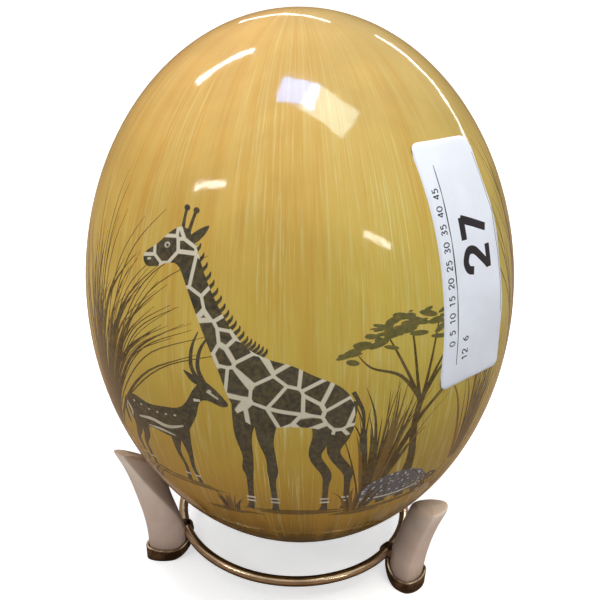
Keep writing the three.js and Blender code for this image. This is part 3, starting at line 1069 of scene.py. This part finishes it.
def old_brass(stand):
    """Old brass with a painted highlight along the rod's upper outer side and painted shade
    in the tarnish colour elsewhere.
    """
    material, tree, surface = new_material("Brass with painted sheen")
    blotch, grain = mottle(tree, 120.0, 2600.0)
    # Painted highlight in brass along the band, painted shade in tarnish elsewhere
    worn_and_sheen = times(tree, attribute(tree, "wear_and_sheen"),
                 stretch(tree, blotch, 0.0, 1.0, 1.0, 0.7))
    surface.inputs["Metallic"].default_value = 1.0
    skin = mix(tree, one_minus(tree, worn_and_sheen), stand.brass, stand.tarnish_and_shade)
    dress(tree, surface, skin, grain, 0.17, 0.22)
    return material


# Label -------------------------------------------------------------------------------

WALK_STEPS = 12


class ShellWalk:
    """Straight walks over the shell, from a point on it."""

    def __init__(self, egg):
        self.wide, self.long = egg.radius, egg.half_length

    def normal(self, spot):
        return Vector((spot.x / self.wide ** 2, spot.y / self.wide ** 2,
                       spot.z / self.long ** 2)).normalized()

    def drop(self, spot):
        return spot / math.hypot(spot.x / self.wide, spot.y / self.wide,
                                 spot.z / self.long)

    def go(self, start, heading, distance):
        spot, ahead = start.copy(), heading.copy()
        for _ in range(WALK_STEPS):
            up = self.normal(spot)
            ahead = (ahead - up * ahead.dot(up)).normalized()
            spot = self.drop(spot + ahead * (distance / WALK_STEPS))
        return spot, ahead


DIGIT_STROKES = {  # bent strokes, then straight ones, in a box 0.6 wide and 1 high
    "0": ([(0.3, 1), (0.03, 0.72), (0.03, 0.28), (0.3, 0), (0.57, 0.28), (0.57, 0.72),
           (0.3, 1)],),
    "1": (None, [(0.08, 0.76), (0.34, 1)], [(0.34, 1), (0.34, 0)]),
    "2": ([(0.04, 0.72), (0.1, 0.92), (0.3, 1), (0.54, 0.88), (0.54, 0.64), (0.32, 0.36),
           (0.06, 0.06)], [(0, 0.04), (0.6, 0.04)]),
    "3": ([(0.04, 0.86), (0.3, 1), (0.52, 0.78), (0.26, 0.54), (0.56, 0.3), (0.3, 0),
           (0.02, 0.14)],),
    "4": (None, [(0.44, 0), (0.44, 1)], [(0.44, 1), (0, 0.3)], [(0, 0.3), (0.6, 0.3)]),
    "5": ([(0.08, 0.56), (0.34, 0.62), (0.56, 0.34), (0.3, 0), (0.02, 0.12)],
          [(0.1, 0.56), (0.12, 0.97)], [(0.08, 0.97), (0.54, 0.97)]),
    "6": ([(0.5, 0.98), (0.16, 0.7), (0.04, 0.34), (0.3, 0), (0.56, 0.3), (0.32, 0.58),
           (0.08, 0.36)],),
    "7": (None, [(0.02, 0.96), (0.58, 0.96)], [(0.55, 0.98), (0.2, 0)]),
}
LABEL_ROWS = (  # digits, left end, foot, height, stroke width, pitch; X runs up the label
    ("27", -2.5, -6.3, 9.5, 2.0, 7.8),
    ("0 5 10 15 20 25 30 35 40 45", -18.8, 8.1, 1.75, 0.3, 1.4),
    ("12 6", -23.4, 3.4, 1.9, 0.32, 1.6),
)
LABEL_RULES = (((-24.2, 7.1), (24.0, 7.1)), ((-15.0, -10.6), (25.5, -10.6)))
RULE_WIDTH = 0.2


def label_print():
    """The plain numbers and ruled lines, in mm with X along the label's length."""
    shapes = []
    for text, left, foot, height, wide, pitch in LABEL_ROWS:
        for place, digit in enumerate(text):
            bent, *straight = DIGIT_STROKES.get(digit, (None,))
            at = lambda p: (left + place * pitch + p[0] * height, foot + p[1] * height, wide)
            if bent:
                shapes.append(ribbon(*map(at, bent)))
            for start, end in straight:
                shapes.append(ribbon(at(start), at(end)))
    shapes += [ribbon(*((*end, RULE_WIDTH) for end in rule)) for rule in LABEL_RULES]
    return shapes


class EGG_OT_label(bpy.types.Operator):
    """Lay the paper label on the shell"""
    bl_idname = "egg_stand.label"
    bl_label = "Paper Label"

    def execute(self, context):
        egg, label = context.scene.egg_settings, context.scene.label_settings
        bm = bmesh.new()
        flat_label(bm, label)
        shell = ShellWalk(egg)
        flat = egg.radius * math.sqrt(1 - (label.rise / egg.half_length) ** 2)
        middle = Vector((flat * math.sin(label.azimuth), -flat * math.cos(label.azimuth),
                         label.rise))
        up = shell.normal(middle)
        heading = (Vector((0, 0, 1)) - up * up.z).normalized()
        heading = Matrix.Rotation(-label.lean, 3, up) @ heading
        for vert in bm.verts:
            x, y = gather(vert.co.x, vert.co.y, label), vert.co.y
            along, ahead = shell.go(middle, heading, y)
            across = ahead.cross(shell.normal(along))
            spot, _ = shell.go(along, across, x)
            vert.co = spot + shell.normal(spot) * (FIT_GAP + lift(x, y, label))
        bmesh.ops.transform(bm, matrix=settle(egg), verts=bm.verts)
        mesh = to_mesh(bm, "label_sheet", merge=False)
        piece = new_piece("label_sheet", mesh, paper(label), ["label"])
        wall = piece.modifiers.new("Paper", "SOLIDIFY")
        wall.thickness = label.thickness
        wall.offset = 0.0
        return {"FINISHED"}


GATHER_START = 0.4                # share of the half height where the edge draws in
LOOSE_START = 0.25                # share of the half width where the paper lifts
LOOSE_HEIGHT = 0.9 * MM
CREASE_HEIGHT = 0.06 * MM


def past(value, start):
    """0 up to the start, then evenly up to 1."""
    return max(0.0, value - start) / (1 - start)


def gather(x, y, label):
    """Draws the right edge in towards the label's top."""
    near_top = past(y / (label.height / 2), GATHER_START)
    return x * (1 - label.gather * near_top) if x > 0 else x


def lift(x, y, label):
    """Height of the paper over the shell: nearly flat, with a loose right edge."""
    right = past(x / (label.width / 2), LOOSE_START)
    waves = 0.5 + 0.5 * math.sin(y / (4.6 * MM) + 0.8) * math.sin(y / (9.1 * MM))
    curl = right ** 2.2 * (0.25 + 0.75 * waves) * LOOSE_HEIGHT
    crease = CREASE_HEIGHT * noise.noise(Vector((x, y, 0)) / (6 * MM))
    return label.thickness / 2 + curl + crease


def label_outline(label):
    """Straight edges with rounded corners, the top right one twice as wide."""
    half_x, half_y = label.width / 2, label.height / 2
    outline = []
    for sign_x, sign_y, start, corner in (
            (1, 1, 0, 2 * label.corner), (-1, 1, 90, label.corner),
            (-1, -1, 180, label.corner), (1, -1, 270, label.corner)):
        for i in range(9):
            turn = math.radians(start + 90 * i / 8)
            outline.append((sign_x * (half_x - corner) + corner * math.cos(turn),
                            sign_y * (half_y - corner) + corner * math.sin(turn)))
    return outline


def flat_label(bm, label):
    """The label and its print, cut flat into triangles that can follow the shell."""
    outline = label_outline(label)
    prints = [[(-v * MM, u * MM) for u, v in shape] for shape in label_print()]
    half_x, half_y = label.width / 2, label.height / 2
    step, margin = 1.0 * MM, 0.4 * MM
    nx, ny = int(half_x / step), int(half_y / step)
    points, edges = [], []
    add_outline(points, edges, outline)
    points += [Vector((i * step, j * step))
               for i in range(-nx, nx + 1) for j in range(-ny, ny + 1)
               if abs(i * step) < half_x - margin and abs(j * step) < half_y - margin]
    for shape in prints:
        add_outline(points, edges, shape)
    flat, _, faces, *_ = delaunay_2d_cdt(points, edges, [], 0, 1e-8)
    ink = bm.loops.layers.float_color.new("ink")
    verts = [bm.verts.new((p.x, p.y, 0)) for p in flat]
    for corners in faces:
        spot = sum((flat[i] for i in corners), Vector((0, 0))) / len(corners)
        if not inside(spot, outline):
            continue
        face = bm.faces.new([verts[i] for i in corners])
        dark = float(any(inside(spot, shape) for shape in prints))
        for loop in face.loops:
            loop[ink] = (dark, dark, dark, 1.0)
    bmesh.ops.delete(bm, geom=[v for v in bm.verts if not v.link_faces], context="VERTS")


def inside(spot, outline):
    hit = False
    for (x0, y0), (x1, y1) in zip(outline, outline[1:] + outline[:1]):
        if (y0 > spot.y) != (y1 > spot.y):
            if spot.x < (x1 - x0) * (spot.y - y0) / (y1 - y0) + x0:
                hit = not hit
    return hit


def paper(label):
    """Smooth coated paper with faint fibres and dark print."""
    material, tree, surface = new_material("Label paper")
    blotch, grain = mottle(tree, 70.0, 2600.0)
    face = mix(tree, 1.0, label.paper, stretch(tree, blotch, 0.0, 1.0, 0.95, 1.0),
               "MULTIPLY")
    face = mix(tree, corner_colour(tree, "ink")["Color"], face, label.ink)
    dress(tree, surface, face, grain, 0.42, 0.55)
    emboss(tree, surface, grain, 0.08, 0.0001)
    return material


# Stage -------------------------------------------------------------------------------

CAMERA_PLACE = Vector((-0.00266, -0.20516, 0.16526))
CAMERA_RIGHT = Vector((0.99943, 0.0, 0.03377))
CAMERA_UP = Vector((-0.03135, 0.37169, 0.92783))
CAMERA_ROLL = math.radians(0.43)

LIGHTS = (  # name, one end, other end, width, radiance, colour; all face the shell
    ("window_cool", (-0.16, -0.11, 1.06), (0.10, -0.19, 1.06), 0.23, 15, (0.78, 0.90, 1.0)),
    ("window_warm", (0.07, -0.20, 1.06), (0.37, -0.32, 0.97), 0.26, 14, (1.0, 0.96, 0.86)),
    ("pane_cool", (-0.16, -0.11, 1.04), (0.10, -0.19, 1.04), 0.23, 18, (0.12, 0.40, 1.0)),
    ("pane_warm", (0.02, -0.18, 1.05), (0.37, -0.32, 0.96), 0.26, 9, (0.60, 0.78, 0.75)),
    ("streak", (-0.778, 0.436, 0.959), (-0.386, 0.466, 1.185), 0.06, 24, (1.0, 1.0, 1.0)),
    ("crown", (-0.274, 1.065, 0.626), (0.159, 0.903, 0.918), 0.03, 9, (1.0, 1.0, 1.0)),
    ("edge", (0.389, 0.941, 0.780), (0.976, 0.665, 0.423), 0.04, 8, (1.0, 1.0, 1.0)),
    ("lamp_left", (-1.00, -0.46, 0.70), (-0.72, -0.71, 0.84), 0.05, 18, (1.0, 1.0, 1.0)),
    ("lamp_right", (0.63, -0.97, 0.59), (0.88, -0.84, 0.43), 0.045, 15, (1.0, 0.97, 0.9)),
)
LIGHT_TARGET = Vector((0, -0.03, 0.14))
LIT_BUT_NOT_MIRRORED = {"window_cool", "window_warm"}
MIRRORED_ONLY = {"pane_cool", "pane_warm"}


def add_light(name, start, end, width, radiance, tint):
    """Area light along the line between its ends, turned towards the shell."""
    start, end = Vector(start), Vector(end)
    place = (start + end) / 2
    back = (place - LIGHT_TARGET).normalized()
    long = end - start
    side = (long - back * long.dot(back)).normalized()
    lamp = bpy.data.lights.new(name, "AREA")
    lamp.shape = "RECTANGLE"
    lamp.size, lamp.size_y = long.length, width
    lamp.energy = radiance * math.pi * long.length * width
    lamp.color = tint
    made = bpy.data.objects.new(name, lamp)
    turn = Matrix((side, back.cross(side), back)).transposed().to_4x4()
    made.matrix_world = Matrix.Translation(place) @ turn
    made.visible_glossy = name not in LIT_BUT_NOT_MIRRORED
    made.visible_diffuse = name not in MIRRORED_ONLY
    bpy.context.scene.collection.objects.link(made)


def add_floor(stage):
    """Table top that runs up into a backdrop in one sweep."""
    reach, bend, wall, sunk = 2.6, 1.2, 3.2, 0.02 * MM
    turns = [math.radians(a) for a in range(0, 91, 6)]
    profile = [(0.0, 0.0), (0.5, 0.0), (1.2, 0.0)]
    profile += [(reach - bend + bend * math.sin(a), bend * (1 - math.cos(a)))
                for a in turns]
    profile.append((reach, wall))
    mesh = to_mesh(spun([(radius, height - sunk) for radius, height in profile], 72),
                   "floor")
    mesh.materials.append(pale_floor(stage))
    floor = bpy.data.objects.new("floor", mesh)
    bpy.context.scene.collection.objects.link(floor)


def pale_floor(stage):
    """White to the eye, while the gloss mirrors a dim room that is paler higher up."""
    material, tree, surface = new_material("Pale floor")
    blotch, _ = mottle(tree, 3.0, 400.0)
    light_path = add(tree, "ShaderNodeLightPath").outputs
    top = mix(tree, blotch, stage.floor, [c * 0.985 for c in stage.floor])
    rise = split(tree, place_vector(tree))[2]
    room = mix(tree, stretch(tree, rise, 0.5, 2.2), stage.room, stage.ceiling)
    bounce = mix(tree, stretch(tree, rise, 0.3, 1.5), stage.bounce, stage.floor)
    other = mix(tree, light_path["Is Glossy Ray"], bounce, room)
    top = mix(tree, light_path["Is Camera Ray"], other, top)
    tree.links.new(top, surface.inputs["Base Color"])
    surface.inputs["Roughness"].default_value = 0.9
    surface.inputs["Emission Color"].default_value = (1.0, 1.0, 1.0, 1.0)
    glow = times(tree, light_path["Is Camera Ray"], stage.glow)
    tree.links.new(glow, surface.inputs["Emission Strength"])
    return material


def add_sky(scene, stage):
    """Even white light, which the gloss mirrors as the ceiling's colour."""
    world = bpy.data.worlds.new("Soft light")
    scene.world = world
    world.use_nodes = True
    tree = world.node_tree
    sky = tree.nodes["Background"].inputs
    mirrored = add(tree, "ShaderNodeLightPath").outputs["Is Glossy Ray"]
    tree.links.new(mix(tree, mirrored, (1.0, 1.0, 1.0), stage.ceiling), sky["Color"])
    sky["Strength"].default_value = stage.sky


def add_camera(scene, stage):
    """Camera a little above the egg, looking down on the ring."""
    camera = bpy.data.cameras.new("camera")
    camera.lens = stage.lens
    camera.sensor_width = 36.0
    camera.clip_start, camera.clip_end = 0.01, 50.0
    c, s = math.cos(CAMERA_ROLL), math.sin(CAMERA_ROLL)
    right = c * CAMERA_RIGHT - s * CAMERA_UP
    up = s * CAMERA_RIGHT + c * CAMERA_UP
    turn = Matrix((right, up, right.cross(up))).transposed().to_4x4()
    holder = bpy.data.objects.new("camera", camera)
    holder.matrix_world = Matrix.Translation(CAMERA_PLACE) @ turn
    scene.collection.objects.link(holder)
    scene.camera = holder
    scene.view_settings.view_transform = "Standard"


class EGG_OT_stage(bpy.types.Operator):
    """Set up the floor, the light and the camera"""
    bl_idname = "egg_stand.stage"
    bl_label = "Stage"

    def execute(self, context):
        scene, stage = context.scene, context.scene.stage_settings
        add_floor(stage)
        add_sky(scene, stage)
        for light in LIGHTS:
            add_light(*light)
        add_camera(scene, stage)
        return {"FINISHED"}


# Add-on ------------------------------------------------------------------------------

class EGG_PT_panel(bpy.types.Panel):
    """Lists the pieces and their settings"""
    bl_idname = "EGG_PT_panel"
    bl_label = "Painted Egg"
    bl_space_type = "VIEW_3D"
    bl_region_type = "UI"
    bl_category = "Egg"

    def draw(self, context):
        column = self.layout.column()
        for operator in OPERATORS:
            column.operator(operator.bl_idname)
        for name in SETTINGS:
            settings = getattr(context.scene, name)
            column.separator()
            for key in settings.bl_rna.properties.keys():
                if key not in {"rna_type", "name"}:
                    column.prop(settings, key)


SETTINGS = {
    "egg_settings": EggSettings,
    "stand_settings": StandSettings,
    "label_settings": LabelSettings,
    "stage_settings": StageSettings,
}
OPERATORS = (EGG_OT_stage, EGG_OT_shell, EGG_OT_ring, EGG_OT_legs, EGG_OT_shoes,
             EGG_OT_label)


def register():
    for made in (*SETTINGS.values(), *OPERATORS, EGG_PT_panel):
        bpy.utils.register_class(made)
    for name, kind in SETTINGS.items():
        setattr(bpy.types.Scene, name, PointerProperty(type=kind))


def unregister():
    for name in SETTINGS:
        delattr(bpy.types.Scene, name)
    for made in (EGG_PT_panel, *OPERATORS[::-1], *list(SETTINGS.values())[::-1]):
        bpy.utils.unregister_class(made)


def main():
    register()
    bpy.ops.egg_stand.stage()
    bpy.ops.egg_stand.shell()
    bpy.ops.egg_stand.ring()
    bpy.ops.egg_stand.legs()
    bpy.ops.egg_stand.shoes()
    bpy.ops.egg_stand.label()


if __name__ == "__main__":
    main()
